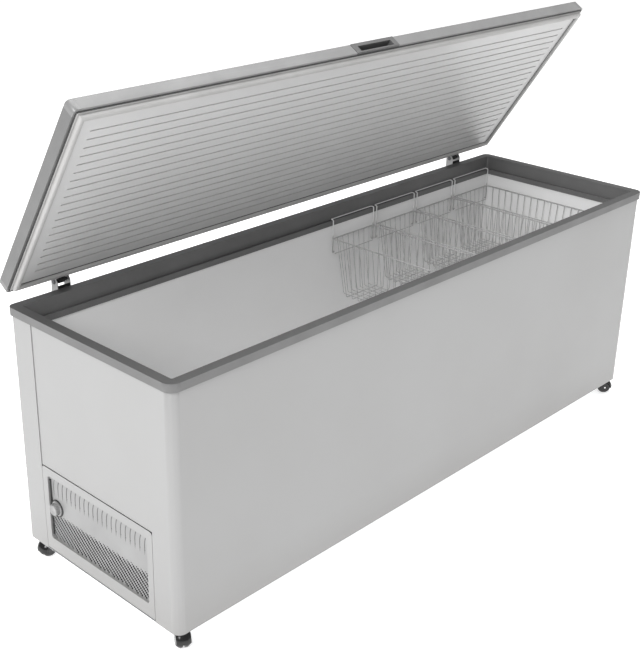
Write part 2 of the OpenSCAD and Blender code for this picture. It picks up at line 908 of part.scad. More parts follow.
// Painted top sheet
module lid_skin() {
    color("white") on_lid() difference() {
        translate([0, 0, lid_top - edge_t - sheet]) linear_extrude(sheet) lid_plan(edge_t);
        handle_room(0);
    }
}

// Insulation inside the lid
module lid_foam() {
    top = lid_top - edge_t - sheet;
    color("lightyellow") on_lid() difference() {
        union() {
            translate([0, 0, lid_low + edge_t])
                linear_extrude(top - lid_low - edge_t) lid_plan(edge_t);
            translate([0, 0, lid_low]) linear_extrude(edge_t + eps) lid_plan(lip_w);
            translate([0, 0, lid_low - panel_face + panel_t])
                linear_extrude(panel_face - panel_t + eps) lid_plan(gasket_in);
        }
        handle_room(0);
    }
}

// Inner panel with long grooves, set inside the gasket
module lid_inner_panel() {
    low = lid_low - panel_face;
    first = -body_d / 2 - lid_out + 73;
    color("whitesmoke") on_lid() difference() {
        translate([0, 0, low]) linear_extrude(panel_t) lid_plan(gasket_in);
        for (i = [0 : rib_count - 1]) {
            y = -first - i * rib_pitch;
            box(
                -lid_l / 2 + rib_inset, lid_l / 2 - rib_inset,
                y - 2.5, y + 2.5, low - 1, low + 2.5
            );
        }
    }
}

// Soft gasket round the lid's underside
module lid_gasket() {
    low = rim_top + gasket_gap;
    color("white") on_lid() union() {
        translate([0, 0, low]) linear_extrude(lid_low - low) difference() {
            lid_plan(8);
            lid_plan(24);
        }
        translate([0, 0, lid_low - 4]) linear_extrude(4) difference() {
            lid_plan(6);
            lid_plan(gasket_in);
        }
    }
}

// Edge profile all round: web, top lip and bottom lip
module edge_ring() {
    translate([0, 0, lid_low]) linear_extrude(lid_h) difference() {
        lid_plan(0);
        lid_plan(edge_t);
    }
    for (z = [lid_low, lid_top - edge_t])
        translate([0, 0, z]) linear_extrude(edge_t) difference() {
            lid_plan(0);
            lid_plan(lip_w);
        }
}

module front_zone(s) {
    x = lid_l / 2 - corner_len;
    box(-x, x, s > 0 ? 0 : -body_d, s > 0 ? body_d : 0, 0, 2 * lid_top);
}

module lid_front_edge() {
    color("silver") on_lid() difference() {
        intersection() {
            edge_ring();
            front_zone(-1);
        }
        handle_room(0);
    }
}

module lid_rear_edge() {
    color("silver") on_lid() intersection() {
        edge_ring();
        front_zone(1);
    }
}

module lid_side_edges() {
    y = lid_d / 2 - corner_len;
    color("darkgray") on_lid() for (s = [-1, 1]) intersection() {
        edge_ring();
        translate([s * lid_l / 2, 0, lid_top]) cube([2 * corner_len, 2 * y, 4 * lid_h], center = true);
    }
}

module lid_corners() {
    color("gray") on_lid() for (sx = [-1, 1], sy = [-1, 1]) intersection() {
        edge_ring();
        translate([sx * lid_l / 2, sy * lid_d / 2, lid_top])
            cube([2 * corner_len, 2 * corner_len, 4 * lid_h], center = true);
    }
}

// Grip insert with a finger pocket open to the front
module lid_handle() {
    y0 = -body_d / 2 - lid_out;
    x0 = handle_x - handle_l / 2;
    x1 = handle_x + handle_l / 2;
    color("dimgray") on_lid() difference() {
        box(x0, x1, y0 - 2, y0 + pocket_d + 3, lid_low, lid_top);
        box(x0 + 20, x1 - 20, y0 - 4, y0 + pocket_d, lid_low + 5, lid_low + 24);
    }
}

// ---------- baskets ----------

// Upright grid w0 wide at the top, w1 at the foot and h high, in its own plane
module grid(w0, w1, h, pitch) {
    count = floor((w1 - pitch) / pitch);
    lean = (w0 - w1) / 2;
    union() {
        translate([-w1 / 2, -h]) square([w1, wire_t]);
        for (f = [0.36, 0.68]) {
            w = w0 - 2 * lean * f;
            translate([-w / 2, -f * h]) square([w, wire_t]);
        }
        translate([-w0 / 2, -wire_t]) square([w0, wire_t]);
        for (i = [-count / 2 : count / 2])
            translate([i * pitch - wire_t / 2, -h]) square([wire_t, h]);
        for (s = [-1, 1]) polygon([
            [s * w0 / 2, 0], [s * (w0 / 2 - wire_t), 0],
            [s * (w1 / 2 - wire_t), -h], [s * w1 / 2, -h]
        ]);
    }
}

// One basket: five mesh sides, the top wires and a hook loop at each end
module basket(index) {
    right = body_l / 2 - band_in - basket_clear;
    x = right - basket_w / 2 - (4 - index) * (basket_w + basket_gap);
    top = ledge_z - basket_drop;
    w = basket_w - hook_t;
    d = body_d - 2 * (band_in + basket_clear) - hook_t;
    hook_y = body_d / 2 - rim_in - hook_t;
    hook_z = ledge_z + hook_t / 2 + 0.3;
    color("gainsboro") translate([x, 0, top]) {
        side_grids(w, d);
        end_grids(w, d);
        translate([0, 0, -basket_h]) linear_extrude(wire_t) floor_grid(foot(w), foot(d));
        top_wire(w, d);
        for (s = [-1, 1]) hook_loop(w, s * d / 2, s * hook_y, hook_z - top);
    }
}

// Slope of the mesh sides, their length down the slope, and the floor's size
function basket_lean() = atan(basket_taper / basket_h);
function slant() = (basket_h - hook_t - wire_t - 2 * weld) / cos(basket_lean());
function foot(w) = w - hook_t - 2 * slant() * sin(basket_lean()) + wire_t;

// Mesh sides left and right
module side_grids(w, d) {
    for (s = [-1, 1])
        translate([s * (w - hook_t) / 2, 0, -hook_t - weld]) rotate([0, 0, s * 90])
            sloped_grid(d - 3 * wire_t, foot(d) - 2 * wire_t - 1);
}

// Mesh sides front and rear
module end_grids(w, d) {
    for (s = [-1, 1])
        translate([0, s * (d - hook_t) / 2, -hook_t - weld]) rotate([0, 0, s > 0 ? 180 : 0])
            sloped_grid(w - 3 * wire_t, foot(w) - 2 * wire_t - 1);
}

module sloped_grid(w0, w1) {
    rotate([90 + basket_lean(), 0, 0]) translate([0, 0, -wire_t / 2])
        linear_extrude(wire_t) grid(w0, w1, slant(), wire_pitch);
}

// Flat floor mesh
module floor_grid(w, d) {
    nx = floor(w / wire_pitch);
    ny = floor(d / (2 * wire_pitch));
    union() {
        difference() {
            square([w, d], center = true);
            square([w - 2 * wire_t, d - 2 * wire_t], center = true);
        }
        for (i = [1 : nx - 1])
            translate([-w / 2 + i * w / nx - wire_t / 2, -d / 2]) square([wire_t, d]);
        for (j = [1 : ny - 1])
            translate([-w / 2, -d / 2 + j * d / ny - wire_t / 2]) square([w, wire_t]);
    }
}

// Thick wire round the basket's top: two end bars and two side bars between them
module top_wire(w, d) {
    half = hook_t / 2;
    for (s = [-1, 1]) {
        x = s * w / 2;
        y = s * d / 2;
        box(-w / 2 - half, w / 2 + half, y - half, y + half, -hook_t, 0);
        box(x - half, x + half, -d / 2 + half + weld, d / 2 - half - weld, -hook_t, 0);
    }
}

// Loop that rises from the top wire and lies over the ledge
module hook_loop(w, y_low, y_high, z_high) {
    half = hook_t / 2;
    inner = min(abs(y_low), abs(y_high)) - half;
    outer = max(abs(y_low), abs(y_high)) + half;
    mirror([0, y_low > 0 ? 0 : 1, 0]) for (s = [-1, 1]) {
        x = s * w / 2;
        box(x - half, x + half, inner, inner + hook_t, weld, z_high + half);
        box(x - half, x + half, inner, outer, z_high - half, z_high + half);
    }
    mirror([0, y_low > 0 ? 0 : 1, 0])
        box(-w / 2 - half, w / 2 + half, outer - hook_t, outer, z_high - half, z_high + half);
}

module basket_1() { basket(1); }
module basket_2() { basket(2); }
module basket_3() { basket(3); }
module basket_4() { basket(4); }

// ---------- casters ----------

module caster_at(c) {
    translate([c[0] * (body_l / 2 - caster_in_x), c[1] * (body_d / 2 - caster_in_y), 0])
        children();
}

// Sockets above the base pan that take the caster stems
module caster_sockets() {
    color("silver") for (c = caster_headings) caster_at(c) translate([0, 0, pan_t]) difference() {
        union() {
            cylinder(h = 3, r = 19);
            cylinder(h = 26, r = 9);
        }
        translate([0, 0, -1]) cylinder(h = 40, r = stem_r + run);
    }
}

// Axle height below the base
function axle_z() = wheel_r - caster_h;

// Round body of a hooded wheel: a short cylinder across the caster, domed towards both sides
module domed(r, half, s, inner, past) {
    translate([trail, 0, axle_z()]) intersection() {
        translate([0, s > 0 ? half + past : -inner, 0]) rotate([90, 0, 0])
            cylinder(h = half + past - inner, r = r);
        sphere(r = norm([r, half / 2]));
    }
}

// Swivel body: stem, thrust disc, hood over the wheels and a middle rib
module swivel(c) {
    hood_t = 2.2;
    hood_r = wheel_r + 2 + hood_t;
    half = wheel_w + 3;
    rib = 2.6;
    color("black") caster_at(c) difference() {
        union() {
            translate([0, 0, -6]) cylinder(h = 30, r = stem_r);
            translate([0, 0, -3.6]) cylinder(h = 3.4 + pan_t, r = disc_r);
            rotate([0, 0, c[2]]) {
                difference() {
                    domed(hood_r, half, 1, -half, 0);
                    for (s = [-1, 1]) domed(hood_r - hood_t, half, s, rib, 1);
                    translate([trail, 0, axle_z() - hood_r + 4])
                        cube([4 * hood_r, 3 * half, 2 * hood_r - 12], center = true);
                }
                translate([trail - 9, -rib, axle_z() - 7]) cube([18, 2 * rib, 22]);
                translate([-4, -rib, axle_z() + 4]) cube([trail, 2 * rib, -axle_z() - 8]);
            }
        }
        rotate([0, 0, c[2]]) translate([trail, 10, axle_z()])
            rotate([90, 0, 0]) cylinder(h = 20, r = 3);
    }
}

// Pair of domed wheels, one each side of the swivel's rib
module wheels(c) {
    half = wheel_w + 3;
    color("#151515") caster_at(c) rotate([0, 0, c[2]]) for (s = [-1, 1]) difference() {
        domed(wheel_r, half, s, 3, 0);
        translate([trail, half + 1, axle_z()]) rotate([90, 0, 0])
            cylinder(h = 2 * half + 2, r = 3 + run);
    }
}

// Axle pin held in the swivel's rib
module axle(c) {
    half = wheel_w + 3;
    color("silver") caster_at(c) rotate([0, 0, c[2]]) translate([trail, half, axle_z()])
        rotate([90, 0, 0]) cylinder(h = 2 * half, r = 3);
}

module swivel_1() { swivel(caster_headings[0]); }
module swivel_2() { swivel(caster_headings[1]); }
module swivel_3() { swivel(caster_headings[2]); }
module swivel_4() { swivel(caster_headings[3]); }
module wheels_1() { wheels(caster_headings[0]); }
module wheels_2() { wheels(caster_headings[1]); }
module wheels_3() { wheels(caster_headings[2]); }
module wheels_4() { wheels(caster_headings[3]); }
module axle_1() { axle(caster_headings[0]); }
module axle_2() { axle(caster_headings[1]); }
module axle_3() { axle(caster_headings[2]); }
module axle_4() { axle(caster_headings[3]); }

// ---------- the freezer ----------

front_wrap();
rear_wrap();
left_end_panel();
right_end_panel();
service_panel();
vent_grille();
base_pan();
body_foam();
inner_liner();
rim_frame();
evaporator_tube();
compressor();
compressor_grommets();
compressor_bolts();
starter_box();
condenser();
fan_shroud();
fan_motor();
fan_blade();
filter_drier();
refrigerant_pipes();
thermostat();
thermostat_knob();
drain_tube();
drain_plug();
cord_gland();
hinge_screws();
hinge_brackets();
hinge_pins();
hinge_springs();
hinge_covers();
hinge_arms();
lid_skin();
lid_foam();
lid_inner_panel();
lid_gasket();
lid_front_edge();
lid_rear_edge();
lid_side_edges();
lid_corners();
lid_handle();
basket_1();
basket_2();
basket_3();
basket_4();
caster_sockets();
swivel_1();
swivel_2();
swivel_3();
swivel_4();
wheels_1();
wheels_2();
wheels_3();
wheels_4();
axle_1();
axle_2();
axle_3();
axle_4();
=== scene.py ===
# %% [markdown]
# # A long chest freezer with its lid up
#
# The real object is a foamed steel box with a plastic rim, a hinged lid, four wire baskets that hang
# on the rim, a machine bay behind a perforated panel and four twin-wheel casters. A mechanical model
# of it already exists, with every part in its place. This lesson loads that model as a fixed frame
# and gives each part the surface and the small shapes that the mechanical model leaves out.

# %% Load the frame
import json
import math

import bmesh
import bpy
from mathutils import Matrix, Vector


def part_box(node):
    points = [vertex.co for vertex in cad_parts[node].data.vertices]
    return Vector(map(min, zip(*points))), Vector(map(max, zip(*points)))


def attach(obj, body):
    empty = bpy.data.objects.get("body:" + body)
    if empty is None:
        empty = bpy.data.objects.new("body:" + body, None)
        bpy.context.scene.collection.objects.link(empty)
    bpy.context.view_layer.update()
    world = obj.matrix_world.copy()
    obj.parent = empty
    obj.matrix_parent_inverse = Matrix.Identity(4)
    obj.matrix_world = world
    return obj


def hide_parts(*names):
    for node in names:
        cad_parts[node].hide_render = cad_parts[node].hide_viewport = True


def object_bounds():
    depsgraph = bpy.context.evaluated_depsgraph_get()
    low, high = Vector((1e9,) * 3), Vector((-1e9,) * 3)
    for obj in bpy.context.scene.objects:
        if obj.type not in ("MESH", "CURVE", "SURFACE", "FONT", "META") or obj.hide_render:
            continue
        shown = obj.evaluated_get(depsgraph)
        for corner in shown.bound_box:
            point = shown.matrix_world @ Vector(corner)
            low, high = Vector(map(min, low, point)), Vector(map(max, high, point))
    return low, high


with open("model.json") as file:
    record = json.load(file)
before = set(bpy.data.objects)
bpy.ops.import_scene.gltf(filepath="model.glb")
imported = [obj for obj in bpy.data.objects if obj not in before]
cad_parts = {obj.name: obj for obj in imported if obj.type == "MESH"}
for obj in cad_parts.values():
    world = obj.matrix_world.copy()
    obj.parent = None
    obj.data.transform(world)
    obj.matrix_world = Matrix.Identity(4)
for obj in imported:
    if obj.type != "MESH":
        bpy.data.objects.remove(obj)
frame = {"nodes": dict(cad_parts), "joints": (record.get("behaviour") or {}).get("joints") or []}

cad_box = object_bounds()
print("box of the frame:", [tuple(round(v, 4) for v in corner) for corner in cad_box])

# %% [markdown]
# ## Where things are
#
# A part's place is in its mesh, so its box says where it is. Several parts are groups of loose
# solids, such as the four springs of the hinges. Welding the mesh and walking from vertex to vertex
# splits such a group into its solids, and each one gets a box of its own.

# %% Boxes of loose solids
MM = 0.001


def solids(node, matrix=Matrix()):
    """Boxes (low, high) of the loose solids of a part, seen through a matrix, sorted along X."""
    mesh = bmesh.new()
    mesh.from_mesh(frame["nodes"][node].data)
    bmesh.ops.transform(mesh, matrix=matrix, verts=mesh.verts)
    bmesh.ops.remove_doubles(mesh, verts=mesh.verts, dist=0.01 * MM)
    waiting, boxes = set(mesh.verts), []
    while waiting:
        seed = waiting.pop()
        island, front = [seed], [seed]
        while front:
            for edge in front.pop().link_edges:
                for vertex in edge.verts:
                    if vertex in waiting:
                        waiting.remove(vertex)
                        island.append(vertex)
                        front.append(vertex)
        places = [vertex.co for vertex in island]
        low = Vector(min(place[i] for place in places) for i in range(3))
        high = Vector(max(place[i] for place in places) for i in range(3))
        boxes.append((low, high))
    mesh.free()
    return sorted(boxes, key=lambda pair: tuple(round(v, 4) for v in pair[0]))


print("springs:", len(solids("hinge_springs")), "hinge pins:", len(solids("hinge_pins")))

# %% [markdown]
# ## The open lid
#
# The model rests with its lid up. The hinge's lower limit is the shut lid, so it also says how far
# the lid stands open. A piece for the lid is easiest to describe with the lid shut, where everything
# is square to the axes, and one matrix then swings it open.

# %% The matrix that opens the lid
hinge = next(joint for joint in frame["joints"] if joint["name"] == "lid_hinge")
hinge_point = Vector(hinge["pos_m"])
open_angle = math.radians(-hinge["range_deg"][0])
swing = Matrix.Rotation(-open_angle, 4, "X")
LID_OPEN = Matrix.Translation(hinge_point) @ swing @ Matrix.Translation(-hinge_point)
LID_SHUT = LID_OPEN.inverted()
gasket_low, gasket_high = solids("lid_gasket", LID_SHUT)[0]
print("lid stands open by", round(math.degrees(open_angle), 1), "degrees")

# %% [markdown]
# ## The camera
#
# The view looks down the length of the freezer from the left, a little above the open lid. Three
# angles aim the camera: heading round the vertical, tilt below the horizon and a trace of roll.
# A small sideways shift of the lens slides the frame without turning the camera.

# %% Camera
CAMERA_PLACE = Vector((-2.6211, -2.2055, 1.9419))
HEADING, TILT, ROLL = 44.50, -23.82, 0.54
LENS_MM, LENS_SHIFT = 66.06, 0.0639

camera = bpy.data.objects.new("camera", bpy.data.cameras.new("camera"))
bpy.context.scene.collection.objects.link(camera)
camera.data.lens = LENS_MM
camera.data.sensor_width = 36
camera.data.shift_x = LENS_SHIFT
camera.data.clip_end = 100
camera.matrix_world = (
    Matrix.Translation(CAMERA_PLACE)
    @ Matrix.Rotation(math.radians(HEADING - 90), 4, "Z")
    @ Matrix.Rotation(math.radians(90 + TILT), 4, "X")
    @ Matrix.Rotation(math.radians(ROLL), 4, "Z")
)
bpy.context.scene.camera = camera
print("camera at", tuple(CAMERA_PLACE), "lens", LENS_MM, "mm")

# %% [markdown]
# ## Shader maths as Python
#
# A material is a graph of nodes. Written out node by node it is long and hard to read, so one small
# class wraps a socket and turns `a * b + 1` into Math nodes. Everything that isn't plain arithmetic,
# such as noise, a colour mix or a bump, comes from one method, `add`.


# %% Field and Finish
class Field:
    """A socket of a finish. Arithmetic on it adds Math nodes."""

    def __init__(self, finish, socket):
        self.finish = finish
        self.socket = socket

    def math(self, operation, *others, before=()):
        values = [*before, self, *others]
        return self.finish.add("ShaderNodeMath", {"operation": operation}, dict(enumerate(values)))

    def __add__(self, other):
        return self.math("ADD", other)

    __radd__ = __add__

    def __sub__(self, other):
        return self.math("SUBTRACT", other)

    def __rsub__(self, other):
        return self.math("SUBTRACT", before=(other,))

    def __mul__(self, other):
        return self.math("MULTIPLY", other)

    __rmul__ = __mul__

    def __lt__(self, other):
        return self.math("LESS_THAN", other)

    def between(self, low, high):
        """0 below low, 1 above high and a straight slope between them."""
        return self.finish.add(
            "ShaderNodeMapRange", {"clamp": True}, {0: self, 1: low, 2: high, 3: 0.0, 4: 1.0}
        )


class Finish:
    """A material with one Principled shader. Plain values go on the shader's own sockets."""

    def __init__(self, name, colour, roughness, **values):
        self.material = bpy.data.materials.new(name)
        self.material.use_nodes = True
        self.tree = self.material.node_tree
        self.shader = self.tree.nodes["Principled BSDF"]
        self.colour = (*colour, 1.0)
        self.shader.inputs["Base Color"].default_value = self.colour
        self.shader.inputs["Roughness"].default_value = roughness
        for socket, value in values.items():
            self.shader.inputs[socket.replace("_", " ").title().replace("Ior", "IOR")].default_value = value
        self.material.diffuse_color = self.colour

    def add(self, kind, settings=None, inputs=None, output=0):
        """Any node: its type, its settings, then the values or links of its sockets."""
        node = self.tree.nodes.new(kind)
        for setting, value in (settings or {}).items():
            setattr(node, setting, value)
        for key, value in (inputs or {}).items():
            if isinstance(value, Field):
                self.tree.links.new(value.socket, node.inputs[key])
            else:
                node.inputs[key].default_value = value
        return Field(self, node.outputs[output])

    def link(self, socket, field):
        self.tree.links.new(field.socket, self.shader.inputs[socket])
        return self

    def place(self):
        """The surface point in metres, as the whole freezer measures it."""
        return self.add("ShaderNodeTexCoord", output=3)

    def axis(self, name):
        return self.add("ShaderNodeSeparateXYZ", inputs={0: self.place()}, output="XYZ".index(name))

    def noise(self, per_metre, detail=2.0, stretch=(1, 1, 1)):
        scaled = self.add(
            "ShaderNodeVectorMath", {"operation": "MULTIPLY"}, {0: self.place(), 1: stretch}
        )
        return self.add("ShaderNodeTexNoise", inputs={0: scaled, "Scale": per_metre, "Detail": detail})

    def mix(self, mask, first, second):
        return self.add("ShaderNodeMix", {"data_type": "RGBA"}, {0: mask, 6: first, 7: second}, 2)

    def bump(self, height, strength, depth):
        return self.link(
            "Normal",
            self.add("ShaderNodeBump", inputs={"Height": height, "Strength": strength, "Distance": depth}),
        )


def tone(value, warmth=0.0):
    """A near-grey colour: value is its brightness, warmth tips it from blue to yellow."""
    return (value + warmth, value, value - warmth)


print("node helpers ready")

# %% [markdown]
# ## Painted steel
#
# The cabinet and the lid are steel sheet with a stoved light-grey enamel. The coat is smooth but
# never a mirror: it has a faint orange peel a millimetre or two across, its gloss wanders a little where it
# has been wiped, and its colour is made darker towards the floor. The liner has the same paint in a softer
# tone.


# %% Enamel
def enamel(name, value, roughness, tint_amount):
    paint = Finish(name, tone(value), roughness, coat_weight=0.25, coat_roughness=0.2)
    handled = paint.noise(2.3, 4.0).between(0.35, 0.75)
    # Darker towards the bottom: the colour darkens below z = 0.12 m.
    low_down = 1 - paint.axis("Z").between(0.0, 0.12)
    patches_and_low_darkening = handled * 0.25 + low_down * tint_amount
    paint.link("Base Color", paint.mix(patches_and_low_darkening, paint.colour, (*tone(value * 0.86, 0.006), 1)))
    paint.link("Roughness", handled * 0.10 + (roughness - 0.04))
    return paint.bump(paint.noise(520, 2.0), 0.10, 0.15 * MM)


white_enamel = enamel("white_enamel", 0.31, 0.36, 0.5)
liner_enamel = enamel("liner_enamel", 0.84, 0.42, 0.0)
print("enamel:", white_enamel.material.name, liner_enamel.material.name)

# %% [markdown]
# ## Moulded plastics
#
# The rim, the lid's corner pieces, the grip and the hinge covers are injection moulded, and the lid's
# edge profiles, the gasket and the vent sheet have a skin that looks much the same. Such plastic has
# a fine spark-eroded grain, which scatters the light. Where asked, the recipe makes the upper faces
# darker than the sides. One recipe with a tone, a gloss and a grain size makes them all.


# %% Plastic
DARK_TONE_SHARE = 0.48


def plastic(name, value, roughness, grain=1400, top_darkening=0.0, warmth=0.0):
    resin = Finish(name, tone(value, warmth), roughness)
    cloud = resin.noise(9, 3.0).between(0.3, 0.8)
    mask = cloud * 0.35
    if top_darkening:
        # Faces that point up get the darker tone.
        normal = resin.add("ShaderNodeTexCoord", output=1)
        up = resin.add("ShaderNodeSeparateXYZ", inputs={0: normal}, output=2)
        mask = mask + up.between(0.3, 0.9) * top_darkening
    resin.link("Base Color", resin.mix(mask, resin.colour, (*tone(value * DARK_TONE_SHARE, warmth), 1)))
    resin.link("Roughness", cloud * 0.12 + (roughness - 0.06))
    return resin.bump(resin.noise(grain, 2.0), 0.12, 0.10 * MM)


rim_plastic = plastic("rim_plastic", 0.145, 0.42, top_darkening=0.9)
edge_plastic = plastic("edge_plastic", 0.22, 0.32)
grip_plastic = plastic("grip_plastic", 0.12, 0.40)
black_plastic = plastic("black_plastic", 0.018, 0.32)
white_plastic = plastic("white_plastic", 0.72, 0.38)
black_rubber = plastic("black_rubber", 0.022, 0.7, grain=700)
vinyl = plastic("gasket_vinyl", 0.42, 0.45, grain=500, warmth=0.004)
# Painted shade: the gasket's flanges are near black for the shadow in the gaps beside the bulb.
flange_gap_shade = plastic("flange_gap_shade", 0.05, 0.5, grain=500)
caster_nylon = plastic("caster_nylon", 0.006, 0.2, grain=300)
front_profile = plastic("front_profile", 0.24, 0.40)
side_profile = plastic("side_profile", 0.16, 0.36)
vent_coat = plastic("vent_coat", 0.30, 0.45)
rib_shade = plastic("rib_shade", 0.09, 0.5)
print("plastics: 13 finishes")

# %% [markdown]
# ## Bare and plated metals
#
# Drawn aluminium has fine lines along its length, hot-dip zinc has flakes a centimetre across, and
# copper pipe darkens in patches. The lines come from noise that is stretched along one axis, the
# flakes from a Voronoi pattern, and the patches from a slow noise.


# %% Metals
def metal(name, colour, roughness, lines=(1, 1, 1), flakes=0.0, patches=0.2):
    steel = Finish(name, colour, roughness, metallic=1.0)
    tarnish = steel.noise(14, 4.0).between(0.4, 0.8) * patches
    shade = steel.mix(tarnish, steel.colour, (*(channel * 0.62 for channel in colour), 1))
    gloss = steel.noise(900, 2.0, lines)
    if flakes:
        cells = steel.add(
            "ShaderNodeTexVoronoi", {"feature": "F1"}, {0: steel.place(), "Scale": 90.0}, output=1
        )
        spangle = steel.add("ShaderNodeSeparateColor", inputs={0: cells})
        shade = steel.mix(spangle * flakes, shade, (*(channel * 0.7 for channel in colour), 1))
        gloss = gloss * 0.5 + spangle * 0.5
    steel.link("Base Color", shade)
    steel.link("Roughness", gloss * 0.18 + (roughness - 0.09))
    return steel.bump(steel.noise(1100, 2.0, lines), 0.05, 0.05 * MM)


ALONG_X = (0.02, 1, 1)
drawn_aluminium = metal("drawn_aluminium", (0.72, 0.73, 0.74), 0.42, ALONG_X, patches=0.08)
galvanised = metal("galvanised_sheet", (0.62, 0.63, 0.64), 0.45, flakes=0.4)
zinc_plate = metal("zinc_plate", (0.66, 0.66, 0.65), 0.35)
copper_pipe = metal("copper_pipe", (0.72, 0.36, 0.22), 0.3, patches=0.6)
spring_steel = metal("spring_steel", (0.08, 0.08, 0.085), 0.4)
pipe_aluminium = metal("pipe_aluminium", (0.7, 0.71, 0.72), 0.4)
print("metals: 6 finishes")

# %% [markdown]
# ## The rest of the finishes
#
# The baskets are grey coated wire. Their hook loops, high up where the light falls on them, are painted
# pale as painted light, and a mask on the height parts the two tones. A hinge is pale on its outer
# cheeks and dark between them, which a mask on the distance from its middle does. The compressor and
# the fan are sprayed black. The foam never shows on a whole freezer, but it gets its own look, so that
# the parts are right when it is taken apart.


# %% Wire coat, hinge steel, black paint, foam and panel coat
HOOK_LIGHT_START = (612 * MM, 622 * MM)
hinge_low, hinge_high = solids("hinge_pins")[0]
HINGE_X = -(hinge_low.x + hinge_high.x) / 2
HINGE_INSIDE = 19.3 * MM


def coated_wire():
    coat = Finish("wire_coat", tone(0.40), 0.28, coat_weight=0.4, coat_roughness=0.15)
    worn = coat.noise(45, 3.0).between(0.5, 0.8)
    # Painted light: the hook loops above this height are painted pale, as if lit.
    lit_hooks = coat.axis("Z").between(*HOOK_LIGHT_START)
    bare = coat.mix(worn * 0.6, coat.colour, (*tone(0.22), 1))
    coat.link("Base Color", coat.mix(lit_hooks, bare, (*tone(0.74), 1)))
    coat.link("Metallic", worn * 0.3)
    return coat.bump(coat.noise(900), 0.08, 0.1 * MM)


def hinge_coat():
    """Pale on the outer cheeks of a hinge, dark between them."""
    coat = Finish("hinge_steel", tone(0.34), 0.42)
    off_centre = (coat.axis("X").math("ABSOLUTE") - HINGE_X).math("ABSOLUTE")
    scuffs = coat.noise(60, 3.0).between(0.4, 0.8) * 0.2
    cheek = coat.mix(scuffs, coat.colour, (*tone(0.24), 1))
    coat.link("Base Color", coat.mix(off_centre < HINGE_INSIDE, cheek, (*tone(0.02), 1)))
    return coat.bump(coat.noise(900), 0.06, 0.05 * MM)


def sprayed_black():
    paint = Finish("sprayed_black", tone(0.02), 0.4, coat_weight=0.2)
    tint_amount = paint.noise(30, 4.0).between(0.45, 0.85)
    paint.link("Base Color", paint.mix(tint_amount * 0.5, paint.colour, (*tone(0.07, 0.005), 1)))
    return paint.bump(paint.noise(420), 0.2, 0.2 * MM)


def rigid_foam():
    foam = Finish("rigid_foam", (0.78, 0.66, 0.38), 0.9)
    cells = foam.add("ShaderNodeTexVoronoi", {"feature": "F1"}, {0: foam.place(), "Scale": 700.0})
    foam.link("Base Color", foam.mix(cells, foam.colour, (0.6, 0.47, 0.22, 1)))
    return foam.bump(cells, 0.4, 0.6 * MM)


hinge_steel = hinge_coat()
wire_coat = coated_wire()
black_paint = sprayed_black()
foam = rigid_foam()
panel_coat = enamel("panel_coat", 0.54, 0.40, 0.0)
print("other finishes: 5")

# %% [markdown]
# ## Dressing the mechanical parts
#
# Most sheet-metal and plastic parts already have the right shape. What they lack is the small radius
# that every real edge has, and which catches the light. A Weld modifier joins the split vertices of
# the imported mesh, and a Bevel rounds its sharp edges. The bevel also hardens the normals, so that
# the big faces stay flat.


# %% Dress function
def soften(piece, radius, steps=2):
    weld = piece.modifiers.new("weld", "WELD")
    weld.merge_threshold = 0.01 * MM
    bevel = piece.modifiers.new("edge_radius", "BEVEL")
    bevel.width = radius
    bevel.segments = steps
    bevel.limit_method = "ANGLE"
    bevel.angle_limit = math.radians(32)
    bevel.use_clamp_overlap = True
    bevel.harden_normals = True


def dress(finish, edge, *names):
    """Gives mechanical parts a finish and, where edge isn't 0, a radius on their edges."""
    for name in names:
        piece = frame["nodes"][name]
        piece.data.materials.clear()
        piece.data.materials.append(finish.material)
        if edge:
            soften(piece, edge)


dress(white_enamel, 0.4 * MM, "front_wrap", "rear_wrap", "left_end_panel", "right_end_panel")
dress(white_enamel, 0.4 * MM, "service_panel", "lid_skin")
dress(liner_enamel, 3 * MM, "inner_liner")
dress(rim_plastic, 0.8 * MM, "rim_frame")
dress(galvanised, 0.4 * MM, "base_pan", "caster_sockets")
dress(hinge_steel, 0.4 * MM, "hinge_brackets")
dress(black_paint, 0.4 * MM, "fan_shroud")
dress(drawn_aluminium, 0.6 * MM, "lid_rear_edge")
dress(front_profile, 0.6 * MM, "lid_front_edge")
dress(side_profile, 0.6 * MM, "lid_side_edges")
dress(edge_plastic, 0.8 * MM, "lid_corners")
dress(panel_coat, 0.8 * MM, "lid_inner_panel")
dress(grip_plastic, 0.8 * MM, "lid_handle")
dress(foam, 0, "body_foam", "lid_foam")
dress(black_plastic, 0.6 * MM, "hinge_covers", "hinge_arms", "starter_box", "cord_gland", "thermostat")
dress(spring_steel, 0.3 * MM, "hinge_pins")
dress(zinc_plate, 0.3 * MM, "hinge_screws", "compressor_bolts")
dress(zinc_plate, 0.3 * MM, "axle_1", "axle_2", "axle_3", "axle_4")
dress(black_paint, 0.8 * MM, "compressor", "fan_motor")
dress(black_rubber, 0.6 * MM, "compressor_grommets", "drain_plug")
dress(copper_pipe, 0, "refrigerant_pipes", "filter_drier")
dress(pipe_aluminium, 0, "evaporator_tube")
dress(white_plastic, 0.5 * MM, "drain_tube")
dress(pipe_aluminium, 0.3 * MM, "fan_blade")
dress(caster_nylon, 0.8 * MM, "swivel_1", "swivel_2", "swivel_3", "swivel_4")
dress(caster_nylon, 1.0 * MM, "wheels_1", "wheels_2", "wheels_3", "wheels_4")
# Painted shade: the condenser is sprayed black so that it reads dark behind the punched holes.
dress(black_paint, 0, "condenser")
print("dressed the parts that keep their shape")

# %% [markdown]
# ## Round wire
#
# Baskets, springs and ribs are all bent from round wire or look like it. A curve with a bevel depth
# is the natural tool: a route of points is all it needs, and the radius can differ from route to
# route. Each corner of a route is turned into a small bend with a quadratic curve.


